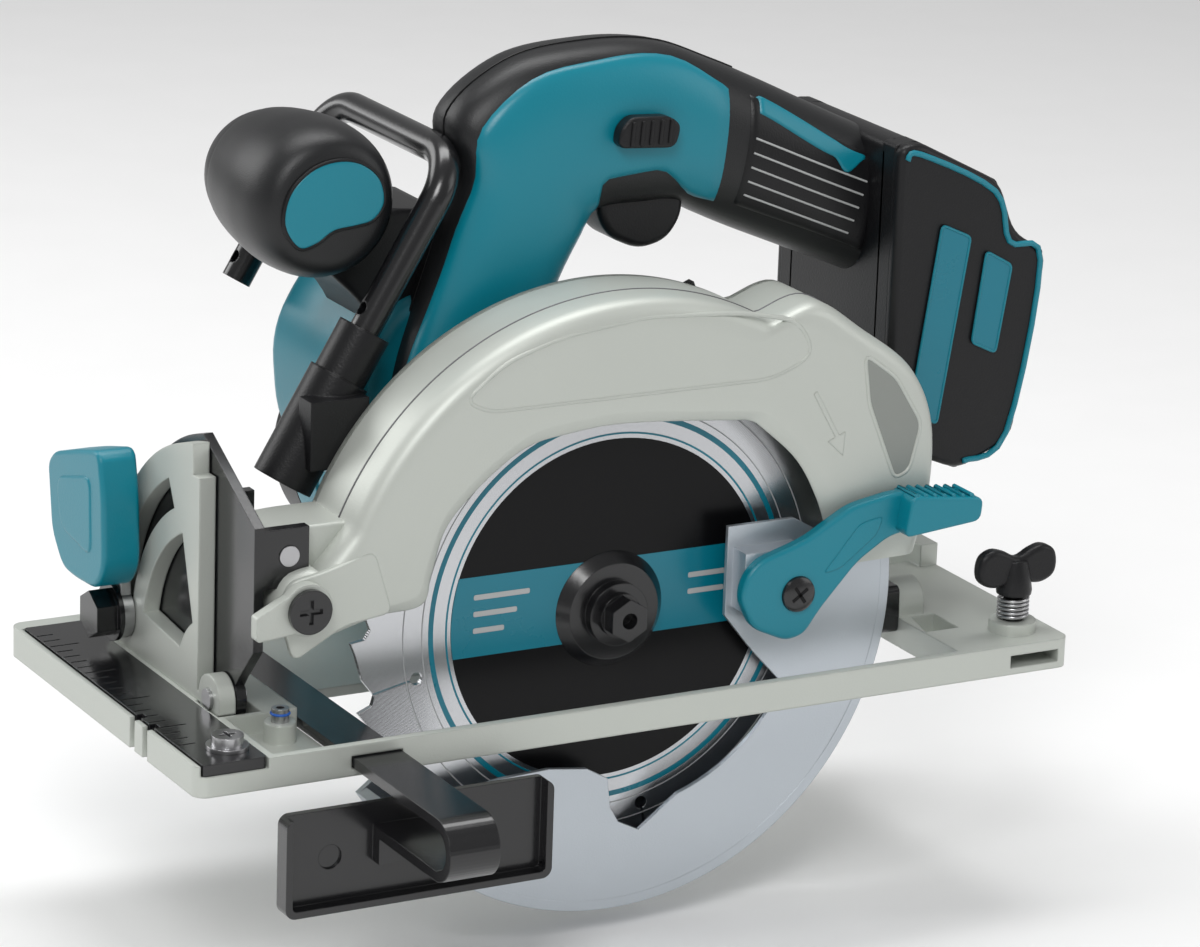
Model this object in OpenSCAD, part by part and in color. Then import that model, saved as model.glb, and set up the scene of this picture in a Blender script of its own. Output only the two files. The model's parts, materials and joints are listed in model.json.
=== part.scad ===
// Cordless circular saw, bare tool. +X points to the rear, -Y to the blade side, +Z up.
// The origin lies on the sole of the shoe, in the blade's plane, under the arbor.

/* [Blade] */
// Diameter of the saw blade
blade_d = 165; // [160:1:165]
// Thickness of the blade's plate
blade_t = 1.6; // [1.2:0.1:2]
// Number of teeth
teeth = 24; // [18:1:40]
// Height of the arbor over the sole at full depth
arbor_z = 25.5; // [25:0.5:27]

/* [Shoe] */
// Front edge of the shoe, from the arbor
shoe_front = -145; // [-150:1:-143]
// Rear edge of the shoe, from the arbor
shoe_rear = 138; // [136:1:145]
// Blade-side edge of the shoe
shoe_near = -35; // [-37:0.5:-34.5]
// Motor-side edge of the shoe
shoe_far = 98; // [94:1:104]
// Height of the shoe's rims and front deck
rim_h = 9; // [8.5:0.5:9.5]
// Thickness of the shoe's plate
plate_t = 3; // [2.5:0.25:3]

/* [Tilting and depth] */
// Bevel axis: distance from the blade's plane
bevel_y = 8; // [7:0.5:9]
// Bevel axis: height over the sole
bevel_z = 12; // [11.5:0.5:12.5]
// Radius on which the bevel clamp bolt rides
clamp_r = 59; // [57:1:60]
// Depth pivot: distance in front of the arbor
pivot_x = -106; // [-107:1:-105]
// Depth pivot: height over the sole
pivot_z = 57; // [56:1:58]

/* [Guards] */
// Outer radius of the lower guard
guard_r = 89.5; // [88:0.5:90]
// Half width of the lower guard
guard_w = 9.5; // [9:0.5:10]
// Inner radius of the blade case's rim
case_r = 92.5; // [92:0.5:93.5]
// Wall thickness of the blade case
case_t = 2.5; // [2:0.25:2.5]

/* [Motor and gear] */
// Gear module
gear_m = 0.9; // [0.88:0.01:0.92]
// Teeth of the pinion on the motor shaft
pinion_teeth = 7; // [7:1:8]
// Teeth of the gear on the spindle
gear_teeth = 38; // [36:1:38]
// Motor axis: distance in front of the arbor
motor_x = -11; // [-12:1:-10]
// Far end of the motor housing
motor_end = 131; // [126:1:133]

/* [Handle] */
// Middle plane of the handle
handle_y = 42; // [40:1:44]
// Width of the handle's two shells together
handle_w = 31; // [28:1:33]
// Wall thickness of the plastic shells
wall = 2.5; // [2:0.25:3]
// Diameter of the hook's rod
rod_d = 9; // [8:0.5:9.5]

/* [Hidden] */
$fn = 64;

near_face = -13.5;
far_face = 16;
strip_w = 2.6;
slot_rear = 100;
slot_far = 26;
deck_rear = -99;
bar_x0 = -98;
bar_x1 = -83;
bar_z = 2.5;
bar_t = 3;
bracket_x0 = -122;
bracket_x1 = -117;
frame_x0 = -116.6;
frame_x1 = -113.6;
quad_r = 72;
motor_dz = sqrt(pow(gear_m * (pinion_teeth + gear_teeth) / 2, 2) - pow(motor_x, 2));
motor_z = arbor_z + motor_dz;
motor_r = 34;
stator_r = 31;
gear_y = 21;
blade_r = blade_d / 2;
hy0 = handle_y - handle_w / 2;
hy1 = handle_y + handle_w / 2;

// Points of an arc in a plane, from angle a0 to a1
function arc(c, r, a0, a1, n = 24) =
    [for (i = [0:n]) [c[0] + r * cos(a0 + (a1 - a0) * i / n), c[1] + r * sin(a0 + (a1 - a0) * i / n)]];

// Extrudes an outline drawn in X and Z from y0 to y1
module yext(y0, y1) {
    translate([0, y1, 0]) rotate([90, 0, 0]) linear_extrude(y1 - y0) children();
}

// Extrudes an outline drawn in Y and Z from x0 to x1
module xext(x0, x1) {
    translate([x0, 0, 0]) rotate([90, 0, 90]) linear_extrude(x1 - x0) children();
}

// Box from one corner to the opposite one
module block(a, b) {
    translate(a) cube([b[0] - a[0], b[1] - a[1], b[2] - a[2]]);
}

// Cylinder along Y about the arbor
module arbor_cyl(r, y0, y1) {
    translate([0, y0, arbor_z]) rotate([-90, 0, 0]) cylinder(r = r, h = y1 - y0);
}

// Cylinder along Y about the motor's axis
module motor_cyl(r, y0, y1) {
    translate([motor_x, y0, motor_z]) rotate([-90, 0, 0]) cylinder(r = r, h = y1 - y0);
}

// Cylinder along Y about any axis
module ycyl(x, z, r, y0, y1) {
    translate([x, y0, z]) rotate([-90, 0, 0]) cylinder(r = r, h = y1 - y0);
}

// Cylinder along X about any axis
module xcyl(y, z, r, x0, x1) {
    translate([x0, y, z]) rotate([0, 90, 0]) cylinder(r = r, h = x1 - x0);
}

// Cylinder along Z
module zcyl(x, y, r, z0, z1) {
    translate([x, y, z0]) cylinder(r = r, h = z1 - z0);
}

// Outline with rounded corners
module soft(r) {
    offset(r) offset(-r) children();
}

// Toothed wheel outline with straight-sided teeth
module toothed(n, m) {
    r = n * m / 2;
    polygon([for (i = [0:n - 1], k = [0:3])
        let (a = 360 * (i + [-0.36, -0.14, 0.14, 0.36][k]) / n, d = [-1.2, 0.85, 0.85, -1.2][k] * m)
        [(r + d) * cos(a), (r + d) * sin(a)]]);
}

// ---- Base -------------------------------------------------------------------------------

wing_x = 125.5;
wing_y = -22;
rail_w = 16.6;
screw_x = -131;
screw_y = -24;
stop_x = -108;
stop_y = -9;
notch_y = [0, bevel_z - 0.414 * bevel_y];

// Sight notches through the front edge: one for square cuts, one for 45 degree cuts
module sight_notches(z0, z1) {
    for (y = notch_y) block([shoe_front - 1, y - 1.6, z0], [shoe_front + 4, y + 1.6, z1]);
}

// Pockets that lighten the rear deck
module rear_pockets() {
    for (y = [-8, 30]) translate([0, 0, 3]) linear_extrude(rim_h)
        polygon([[100.5, y - 6], [112, y - 6], [112, y + 8], [104, y + 8]]);
}

module shoe() {
    color([0.78, 0.8, 0.78]) difference() {
        union() {
            // Front deck, rear deck, motor-side plate and blade-side strip
            linear_extrude(rim_h) soft(4) polygon([[shoe_front, shoe_near], [deck_rear, shoe_near],
                [deck_rear, shoe_far], [shoe_front, shoe_far]]);
            linear_extrude(rim_h) soft(4) polygon([[slot_rear, shoe_near], [shoe_rear, shoe_near],
                [shoe_rear, 46], [slot_rear, 46]]);
            block([deck_rear - 5, slot_far, 0], [shoe_rear - 4, shoe_far, plate_t]);
            block([deck_rear - 5, shoe_near, 0], [slot_rear + 5, shoe_near + strip_w, rim_h]);
            // Motor-side rim and rear rim
            block([deck_rear - 5, shoe_far - 4, 0], [shoe_rear - 4, shoe_far, 6]);
            block([shoe_rear - 6, 40, 0], [shoe_rear, shoe_far, 16]);
            // Ear for the rear bevel pin
            xcyl(bevel_y, bevel_z, 7, 100.4, 109);
            block([100.4, bevel_y - 7, 0], [109, bevel_y + 7, bevel_z]);
            // Boss for the fence's wing bolt
            zcyl(wing_x, wing_y, 7, 0, 12.5);
        }
        // Seat of the scale plate
        block([shoe_front + 1.5, shoe_near - 1, rim_h - 3], [-123.4, 92, rim_h + 1]);
        sight_notches(-1, rim_h + 1);
        // Channels for the fence's bar, front and rear
        block([bar_x0 - 0.4, shoe_near - 1, bar_z - 0.4], [bar_x1 + 0.4, shoe_far + 1, bar_z + bar_t + 0.4]);
        block([bar_x0 - 0.4, slot_far - 1, bar_z - 0.4], [bar_x1 + 0.4, shoe_far + 1, rim_h + 1]);
        block([wing_x - rail_w / 2, shoe_near - 1, bar_z - 0.4],
            [wing_x + rail_w / 2, 47, bar_z + bar_t + 0.4]);
        rear_pockets();
        // Pockets behind the front deck's screw and beside the bracket
        difference() {
            block([-121, shoe_near + strip_w, 3.2], [deck_rear + 1, -1, rim_h + 1]);
            zcyl(stop_x, stop_y, 4.5, 0, rim_h);
        }
        block([-108, 30, 3.2], [-101, 88, rim_h + 1]);
        // Well around the front hinge
        block([bracket_x0 - 0.6, bevel_y - 7.6, 4.4], [-109.5, bevel_y + 7.6, rim_h + 1]);
        // Holes for the screws and the rear pin
        zcyl(wing_x, wing_y, 3, bar_z, 20);
        zcyl(screw_x, screw_y, 2.1, 1, rim_h);
        zcyl(stop_x, stop_y, 2.5, 1, rim_h + 1);
        xcyl(bevel_y, bevel_z, 3, 90, 120);
    }
}

module scale_plate() {
    color([0.13, 0.13, 0.14]) difference() {
        translate([0, 0, rim_h - 3]) linear_extrude(3.4) soft(1)
            polygon([[shoe_front + 2, shoe_near + 0.6], [-123.8, shoe_near + 0.6], [-123.8, 91.6],
                [shoe_front + 2, 91.6]]);
        sight_notches(-1, rim_h + 2);
        zcyl(screw_x, screw_y, 2.1, 0, 20);
        // Tick marks of the scale
        for (i = [0:22]) let (l = i % 5 == 0 ? 9 : 5, y = shoe_near + 8 + 5 * i, x = shoe_front + 2)
            if (abs(y - screw_y) > 6) block([x + 0.5, y - 0.3, rim_h], [x + 0.5 + l, y + 0.3, rim_h + 1]);
    }
}

module scale_screw() {
    color([0.2, 0.2, 0.22]) difference() {
        union() {
            zcyl(screw_x, screw_y, 2.1, 1, rim_h + 0.4);
            zcyl(screw_x, screw_y, 6, rim_h + 0.4, rim_h + 1.6);
            zcyl(screw_x, screw_y, 4.5, rim_h + 1.6, rim_h + 4.4);
        }
        for (a = [0, 90]) translate([screw_x, screw_y, rim_h + 4.4]) rotate(a) cube([5, 1, 3], center = true);
    }
}

module bevel_bracket() {
    color([0.8, 0.82, 0.8]) difference() {
        union() {
            // Quadrant plate
            xext(bracket_x0, bracket_x1) polygon(concat(arc([bevel_y, bevel_z], quad_r, 2, 80, 40),
                [[20, rim_h], [75, rim_h]]));
            // Post with its foot, and the front hinge boss
            block([bracket_x0, 16, rim_h], [bracket_x1, 22, 74]);
            xcyl(bevel_y, bevel_z, 7, bracket_x0, bracket_x1);
            block([bracket_x0, bevel_y - 7, rim_h], [bracket_x1, 20, bevel_z]);
        }
        // Arc slot for the clamp bolt and the window inside it
        xext(bracket_x0 - 1, bracket_x1 + 1) polygon(concat(
            arc([bevel_y, bevel_z], clamp_r + 4.4, 3, 63, 30),
            arc([bevel_y, bevel_z], clamp_r - 4.4, 63, 3, 30)));
        xext(bracket_x0 - 1, bracket_x1 + 1) polygon(concat(
            arc([bevel_y, bevel_z], clamp_r - 12, 14, 66, 24), arc([bevel_y, bevel_z], 22, 58, 24, 12)));
        xcyl(bevel_y, bevel_z, 3, -130, -110);
    }
}

module bevel_pins() {
    color([0.35, 0.35, 0.37]) {
        xcyl(bevel_y, bevel_z, 3, bracket_x0 - 1, frame_x1 + 2);
        xcyl(bevel_y, bevel_z, 3, 94, 110);
    }
}

module stop_screw() {
    color([0.25, 0.25, 0.27]) difference() {
        zcyl(stop_x, stop_y, 2.5, 1, rim_h + 4);
        translate([stop_x, stop_y, rim_h + 2]) cylinder(d = 2.6, h = 4, $fn = 6);
    }
}

// Outline of one wing, in X and Z: upwards on side 1 of the bolt, downwards on side -1
function wing_half(s) =
    let (p = [[3.5, 21], [7, 23], [13.4, 29], [13.2, 34.5], [8.5, 35], [4, 30.5]])
    [for (i = [0:5]) let (k = s > 0 ? i : 5 - i) [wing_x + s * p[k][0], p[k][1]]];

module wing_bolt() {
    color([0.12, 0.12, 0.13]) {
        zcyl(wing_x, wing_y, 2.95, bar_z + bar_t + 0.1, 24);
        translate([wing_x, wing_y, 20.6]) cylinder(r1 = 5.2, r2 = 4.4, h = 9);
        yext(wing_y - 2, wing_y + 2) soft(1.5) polygon(concat(wing_half(1), wing_half(-1)));
    }
}

module wing_spring() {
    turns = 4;
    color([0.3, 0.3, 0.32]) for (i = [0:turns - 1])
        translate([wing_x, wing_y, 13.2 + i * 2.1]) rotate_extrude($fn = 32)
            translate([4.2, 0]) circle(0.6, $fn = 16);
}

module rip_fence() {
    bend_r = 9;
    bend_y = -86;
    bar_top = bar_z + bar_t;
    color([0.11, 0.11, 0.12]) {
        // Bar, its bend and its return leg, as one flat strip
        xext(bar_x0, bar_x1) {
            polygon([[bend_y, bar_z], [72, bar_z], [72, bar_top], [bend_y, bar_top]]);
            polygon(concat(arc([bend_y, bar_top - bend_r], bend_r, 90, 270, 24),
                arc([bend_y, bar_top - bend_r], bend_r - bar_t, 270, 90, 24)));
            polygon([[bend_y, bar_top - 2 * bend_r], [-52.4, bar_top - 2 * bend_r],
                [-52.4, bar_top - 2 * bend_r + bar_t], [bend_y, bar_top - 2 * bend_r + bar_t]]);
        }
        // Fence plate with its raised lip
        difference() {
            yext(-52.4, -46.4) soft(3) polygon([[-126, -3], [-44, -3], [-44, -32], [-126, -32]]);
            yext(-55, -48.4) soft(1.5) polygon([[-124, -2], [-46, -2], [-46, -30], [-124, -30]]);
            ycyl(-111, -17, 3.5, -60, -47.6);
        }
        block([bar_x0, -52.4, -20], [bar_x1, -48.4, -9.5]);
    }
}

// ---- Tilting frame ------------------------------------------------------------------------

guide_r = 145;
guide_a0 = -12;

module tilt_frame() {
    color([0.14, 0.14, 0.15]) difference() {
        union() {
            xext(frame_x0, frame_x1) polygon(concat([[bevel_y, rim_h + 0.6], [75, rim_h + 0.6]],
                arc([bevel_y, bevel_z], quad_r + 2, 4, 76, 40), [[-9, 66], [-9, 30], [bevel_y - 8, 20]]));
            xcyl(bevel_y, bevel_z, 7, frame_x0, frame_x1);
            // Ears of the depth pivot
            for (y = [-9, 27]) block([frame_x1 - 1, y, pivot_z - 9], [pivot_x + 6, y + 3.4, pivot_z + 8]);
        }
        ycyl(pivot_x, pivot_z, 3.05, -12, 32);
        xcyl(bevel_y, bevel_z, 3.05, -120, -110);
        clamp_axis() cylinder(r = 4, h = 30, center = true);
    }
}

// Band of the depth guide's arc about the depth pivot, drawn in X and Z
module guide_band(half, a0, a1) {
    c = [pivot_x, pivot_z];
    polygon(concat(arc(c, guide_r + half, a0, a1, 30), arc(c, guide_r - half, a1, a0, 30)));
}

module depth_guide() {
    color([0.14, 0.14, 0.15]) difference() {
        union() {
            xext(94, 99.6) soft(2) polygon([[0, 4.5], [20, 4.5], [20, 19], [0, 19]]);
            yext(17, 20) polygon([[30, 4.5], [99.6, 4.5], [99.6, 11], [44, 11], [42, 18], [30, 18]]);
            yext(17, 20) guide_band(7, -17, 22.5);
        }
        yext(16, 21) guide_band(2.6, guide_a0 - 1.2, 20);
        xcyl(bevel_y, bevel_z, 3.05, 90, 101);
    }
}

// Places its children on the clamp bolt's axis, pointing to the rear
module clamp_axis() {
    a = 8;
    translate([bracket_x0, bevel_y + clamp_r * cos(a), bevel_z + clamp_r * sin(a)])
        rotate([0, 90, 0]) children();
}

module bevel_clamp_bolt() {
    color([0.16, 0.16, 0.17]) clamp_axis() {
        translate([0, 0, -11.5]) cylinder(r = 7.2, h = 6.4, $fn = 6);
        translate([0, 0, -5.1]) cylinder(r = 8.6, h = 1.4);
        translate([0, 0, -5.1]) cylinder(r = 4, h = 18);
        translate([0, 0, frame_x1 - bracket_x0]) cylinder(r = 7, h = 4, $fn = 6);
    }
}

module bevel_lever_arm() {
    color([0.62, 0.66, 0.68]) clamp_axis() difference() {
        union() {
            translate([0, 0, -3.6]) cylinder(r = 8, h = 3.2);
            translate([-32, -5, -3.6]) cube([30, 10, 3.2]);
        }
        translate([0, 0, -5]) cylinder(r = 4.06, h = 8);
    }
}

module bevel_lever_knob() {
    color([0, 0.55, 0.64]) difference() {
        xext(-137, -124.6) soft(3) polygon([[50, 37], [60, 30], [76, 30], [88, 40], [90, 62], [54, 73]]);
        clamp_axis() translate([-32, -5, -3.6]) cube([30, 10, 3.2]);
        xext(-138, -134) soft(4) polygon([[56, 38], [82, 42], [84, 60], [56, 66]]);
    }
}

// ---- Saw body -------------------------------------------------------------------------------

holder_foot = [-91, 66];
holder_dir = [0.5115, 0.8593];
holder_y = 28;
bearing_r = 13;
spindle_r = 6;
mount_y0 = 8;
mount_y1 = 76;

// Outline of the blade case, drawn in X and Z
module case_outline() {
    polygon(concat(arc([0, arbor_z], case_r + case_t, 60, 160, 60), [[-97, 53.5], [-108, 51.5], [-112, 44],
        [-107, 26.5], [-91, 36],
        [-66, 37.5], [-40, 37.5], [-24, 20], [24, 20], [60, 34], [97, 34], [101, 50], [103, 72],
        [99, 86], [84, 99], [66, 111]]));
}

// Window in the near wall, through which the blade shows
module case_window() {
    soft(4) polygon([[-66, 30], [-66, 38], [-57, 63], [-37, 79.5], [-20, 83.5], [0, 84.3], [37, 81],
        [54, 67.5], [64, 48], [68, 33], [60, 10], [-60, 10]]);
}

module blade_case() {
    c = [0, arbor_z];
    color([0.8, 0.82, 0.8]) difference() {
        union() {
            // Near wall, rim, rear corner and far wall
            yext(near_face, near_face + 2) difference() {
                case_outline();
                case_window();
            }
            yext(near_face, far_face) polygon(concat(arc(c, case_r + case_t, 6, 176, 80),
                arc(c, case_r, 176, 6, 80)));
            yext(near_face, far_face) difference() {
                case_outline();
                polygon([[-120, 0], [45, 0], [45, 140], [-120, 140]]);
                translate(c) circle(case_r, $fn = 128);
            }
            yext(far_face - 2, far_face) union() {
                case_outline();
                translate(c) circle(22);
            }
            // Lug of the depth pivot
            difference() {
                union() {
                    ycyl(pivot_x, pivot_z, 6.4, -5, 26.4);
                    block([pivot_x, -5, pivot_z - 6.4], [-82, far_face, pivot_z + 6.4]);
                }
                ycyl(pivot_x, pivot_z, 3, -6, 30);
                yext(-6, far_face - 2) translate(c) circle(case_r);
            }
            // Bearing box, on which the lower guard turns
            arbor_cyl(16, 6, far_face);
            // Boss of the depth clamp
            ycyl(pivot_x + guide_r * cos(guide_a0), pivot_z + guide_r * sin(guide_a0), 2.2, far_face - 1, 26);
        }
        arbor_cyl(bearing_r, 7, far_face + 1);
        arbor_cyl(10, 5, 8);
        // Triangular pocket and the recessed label panel
        yext(near_face - 1, near_face + 10) soft(1.5)
            polygon([[72, 99], [86, 88], [96, 74], [92, 58], [87, 56], [74, 84]]);
        yext(near_face - 1, near_face + 0.6) soft(3) polygon([[-54, 102], [-50, 96], [60, 96], [74, 92],
            [52, 116], [20, 112.5], [-20, 110]]);
        // Seat of the stopper's screw
        ycyl(stopper_x, stopper_z, 2.6, near_face - 1, near_face + 3);
    }
}

module depth_pin() {
    color([0.4, 0.4, 0.42]) ycyl(pivot_x, pivot_z, 3, -9.4, 31);
}

module gear_cover() {
    color([0.62, 0.64, 0.65]) difference() {
        union() {
            arbor_cyl(20.5, far_face, 30);
            motor_cyl(9, far_face, 30);
            motor_cyl(motor_r, 27, 30);
        }
        arbor_cyl(18.6, far_face - 1, 26);
        motor_cyl(5, far_face - 1, 26);
        arbor_cyl(8, 25, 28.4);
        motor_cyl(6, 25, 31);
        xcyl(gear_y, arbor_z, 2.06, 10, 30);
    }
}

// Outer shape of the motor housing
module motor_outer(grow = 0) {
    motor_cyl(motor_r + grow, 30 - grow, 118);
    yext(40 - grow, 100 + grow) offset(grow) soft(6)
        polygon([[-46, 40], [-62, 62], [-64, 92], [-52, 112], [-30, 116], [-4, 96], [10, 70]]);
}

module motor_housing() {
    color([0, 0.5, 0.58]) difference() {
        motor_outer();
        motor_cyl(stator_r, 29, 119);
        yext(42.5, 97.5) offset(-wall) soft(6)
            polygon([[-46, 40], [-62, 62], [-64, 92], [-52, 112], [-30, 116], [-4, 96], [10, 70]]);
    }
}

module motor_cap() {
    color([0.13, 0.13, 0.14]) difference() {
        motor_cyl(motor_r, 118, motor_end);
        ring_y(motor_x, motor_z, 14.5, stator_r, 117, motor_end - 3);
        motor_cyl(12, 117, motor_end - 3);
        motor_cyl(15, 117, 120.5);
        // Air slots in the end wall
        for (a = [0:30:330]) translate([motor_x, motor_end - 4, motor_z]) rotate([-90, a, 0])
            translate([15, -1.4, 0]) cube([12, 2.8, 6]);
    }
}

module stator() {
    color([0.45, 0.3, 0.18]) difference() {
        motor_cyl(stator_r, 52, 96);
        motor_cyl(18, 51, 97);
        for (a = [0:60:300]) translate([motor_x, 51, motor_z]) rotate([-90, a + 30, 0])
            translate([17, -3, 0]) cube([9, 6, 50]);
    }
}

// Ring along Y
module ring_y(x, z, r0, r1, y0, y1) {
    difference() {
        ycyl(x, z, r1, y0, y1);
        ycyl(x, z, r0, y0 - 1, y1 + 1);
    }
}

module motor_bearings() {
    color([0.7, 0.7, 0.72]) {
        ring_y(motor_x, motor_z, 3.05, 6, 26, 30);
        ring_y(motor_x, motor_z, 3.05, 12, 121, 128);
    }
}

module spindle_bearings() {
    color([0.7, 0.7, 0.72]) {
        ring_y(0, arbor_z, spindle_r + 0.05, bearing_r, 8, far_face);
        ring_y(0, arbor_z, 4.05, 8, 26, 28.4);
    }
}

// Side outline of the handle: front leg, grip and lower bar
module handle_outline() {
    soft(5) polygon([[-50, 60], [-50, 96], [-39, 120], [-30, 150], [-34, 168], [-18, 179.5], [4, 183.5],
        [27, 183], [48, 176], [72, 165], [98, 152], [98, 104], [85, 110], [49, 128], [42, 134],
        [8, 134], [-2, 116], [-10, 96], [22, 66], [60, 74], [98, 86], [98, 60], [60, 50], [22, 44]]);
}

// Opening through which the lock-off lever slides, drawn in X and Z
module lock_off_slot() {
    soft(2) polygon([[11, 155], [31, 153.6], [32.4, 163.4], [13, 165.4]]);
}

// One shell of the handle, from y0 to y1, open at the side y1 or y0
module handle_shell(y0, y1, open_high) {
    c0 = open_high ? y0 + wall : y0 - 1;
    c1 = open_high ? y1 + 1 : y1 - wall;
    difference() {
        yext(y0, y1) handle_outline();
        yext(c0, c1) offset(-wall) handle_outline();
        motor_outer(0.2);
        motor_cyl(motor_r + 0.2, 26, 31);
        arbor_cyl(21, 15, 31);
        // Opening for the trigger
        block([10, handle_y - 8.4, 128], [42, handle_y + 8.4, 140]);
        yext(y0 - 1, y1 + 1) lock_off_slot();
    }
}

module handle_left() {
    color([0, 0.5, 0.58]) handle_shell(hy0, handle_y, true);
}

module handle_right() {
    color([0, 0.5, 0.58]) handle_shell(handle_y, hy1, false);
}

// Grip area of the handle, drawn in X and Z
module grip_area() {
    soft(3) polygon([[56, 170], [72, 163.5], [96, 151], [96, 107], [85, 112], [56, 126]]);
}

module grip_rubber() {
    color([0.13, 0.13, 0.14]) {
        yext(hy0 - 1.6, hy0) grip_area();
        yext(hy1, hy1 + 1.6) grip_area();
    }
}

module side_panel() {
    color([0, 0.52, 0.6]) yext(hy0 - 1.2, hy0) difference() {
        soft(3) polygon([[-40, 92], [-22, 148], [-8, 160], [30, 176], [40, 172], [46, 158], [42, 134],
            [8, 136], [-4, 114], [-12, 94]]);
        lock_off_slot();
    }
}

module housing_screws() {
    color([0.2, 0.2, 0.22]) for (p = [[-22, 164], [16, 172], [46, 166], [88, 76]])
        ycyl(p[0], p[1], 3, hy1, hy1 + 1.5);
}

// Side outline of the arm that carries the front grip
module arm_outline() {
    soft(3) polygon([[-74, 130], [-58, 138], [-30.4, 133], [-36, 117], [-51, 100], [-58, 112]]);
}

module front_arm() {
    color([0.12, 0.12, 0.13]) difference() {
        yext(44, 76) arm_outline();
        motor_outer(0.2);
        yext(20, 90) offset(0.2) handle_outline();
    }
}

grip_c = [-74, 143];

module front_grip() {
    color([0.13, 0.13, 0.14]) difference() {
        translate([grip_c[0], 0, grip_c[1]]) rotate([-90, 0, 0]) rotate_extrude($fn = 48)
            polygon([[0, 33], [13, 33], [18, 36], [21, 43], [22, 54], [21.4, 66], [19, 77], [15, 85], [8, 91],
                [0, 94]]);
        yext(44, 76) arm_outline();
    }
}

module grip_inlays() {
    color([0, 0.5, 0.58]) yext(32.4, 33) translate(grip_c) circle(11);
}

// Side outline of the battery mount
module mount_outline() {
    soft(4) polygon([[98.2, 152], [133, 137], [139, 122], [151, 115], [142, 57], [124, 50], [104, 58],
        [98.2, 70]]);
}

module battery_mount() {
    color([0.13, 0.13, 0.14]) difference() {
        yext(mount_y0, mount_y1) mount_outline();
        // Bay that takes the battery's slide, open to the rear and below
        block([126, mount_y0 + 10, 40], [160, mount_y1 - 10, 112]);
        block([130, mount_y0 + 5, 40], [136, mount_y1 - 5, 112]);
        block([112, handle_y - 14, 66], [127, handle_y + 14, 104]);
        // Room for the blade case's rear corner
        yext(mount_y0 - 1, far_face + 0.3) offset(0.4) case_outline();
        yext(mount_y0 - 1, mount_y0 + 0.8) {
            polygon([[112, 126], [122, 122], [112, 68], [104, 72]]);
            polygon([[128, 118], [138, 113], [134, 84], [126, 88]]);
        }
    }
}

module mount_badges() {
    color([0, 0.5, 0.58]) yext(mount_y0 - 0.2, mount_y0 + 0.8) {
        polygon([[112, 126], [122, 122], [112, 68], [104, 72]]);
        polygon([[128, 118], [138, 113], [134, 84], [126, 88]]);
    }
}

module terminal_block() {
    color([0.3, 0.3, 0.1]) {
        block([112, handle_y - 14, 70], [124, handle_y + 14, 100]);
        for (y = [-9, -3, 3, 9]) block([124, handle_y + y - 0.5, 74], [135, handle_y + y + 0.5, 84]);
    }
}

module switch_body() {
    color([0.15, 0.15, 0.16]) block([10, handle_y - 9, 146.5], [40, handle_y + 9, 154.6]);
}

module controller() {
    color([0.25, 0.26, 0.28]) block([-58, 46, 72], [-44, 92, 92]);
}

// Places its children on the hook's axis, with the holder's foot at the origin
module hook_axis() {
    translate([holder_foot[0], holder_y, holder_foot[1]])
        rotate([0, atan2(holder_dir[0], holder_dir[1]), 0]) children();
}

module hook_holder() {
    color([0.14, 0.14, 0.15]) difference() {
        hook_axis() {
            cylinder(r = 9, h = 34);
            translate([0, 0, 34]) cylinder(r = 7.8, h = 15);
        }
        hook_axis() translate([0, 0, 12]) cylinder(r = rod_d / 2 + 0.06, h = 60);
        hook_axis() translate([0, 0, -1]) cylinder(r = 3, h = 20);
    }
    color([0.14, 0.14, 0.15]) difference() {
        block([-88, far_face, 72], [-70, 24, 92]);
        hook_axis() translate([0, 0, -1]) cylinder(r = 8.8, h = 60);
    }
}

module hook_rod() {
    r = 14;
    top = 104;
    span = 80;
    color([0.12, 0.12, 0.13]) hook_axis() difference() {
        union() {
            translate([0, 0, 13]) cylinder(d = rod_d, h = top - r - 13);
            translate([0, span, 43]) cylinder(d = rod_d, h = top - r - 43);
            translate([0, r, top]) rotate([-90, 0, 0]) cylinder(d = rod_d, h = span - 2 * r);
            for (s = [0, 1]) translate([0, s ? span - r : r, top - r]) rotate([90, 0, s ? 90 : -90])
                rotate_extrude(angle = 90) translate([r, 0]) circle(d = rod_d);
        }
        // Cross holes
        translate([0, 0, 54]) rotate([0, 90, 0]) cylinder(r = 2, h = 20, center = true);
        translate([0, span, 49]) rotate([0, 90, 0]) cylinder(r = 2, h = 20, center = true);
    }
}

// Places its children on the depth clamp's axis, pointing to the motor side
module depth_axis() {
    translate([pivot_x + guide_r * cos(guide_a0), 0, pivot_z + guide_r * sin(guide_a0)])
        rotate([-90, 0, 0]) children();
}

module depth_lever() {
    color([0.14, 0.14, 0.15]) depth_axis() difference() {
        union() {
            translate([0, 0, 20.5]) cylinder(r = 8, h = 5.4);
            translate([0, -4, 21.5]) cube([38, 8, 4]);
        }
        translate([0, 0, 10]) cylinder(r = 2.26, h = 30);
    }
}

stopper_x = -104;
stopper_z = 43.5;
stopper_y = -17.6;

module positive_stopper() {
    color([0.82, 0.84, 0.82]) difference() {
        union() {
            ycyl(stopper_x, stopper_z, 7.5, stopper_y, near_face - 0.4);
            yext(stopper_y, near_face - 0.4) soft(1)
                polygon([[-119.6, 36], [-108, 37], [-104, 50], [-110, 48], [-119.6, 43]]);
        }
        ycyl(stopper_x, stopper_z, 5.06, -20, near_face);
    }
}

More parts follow.
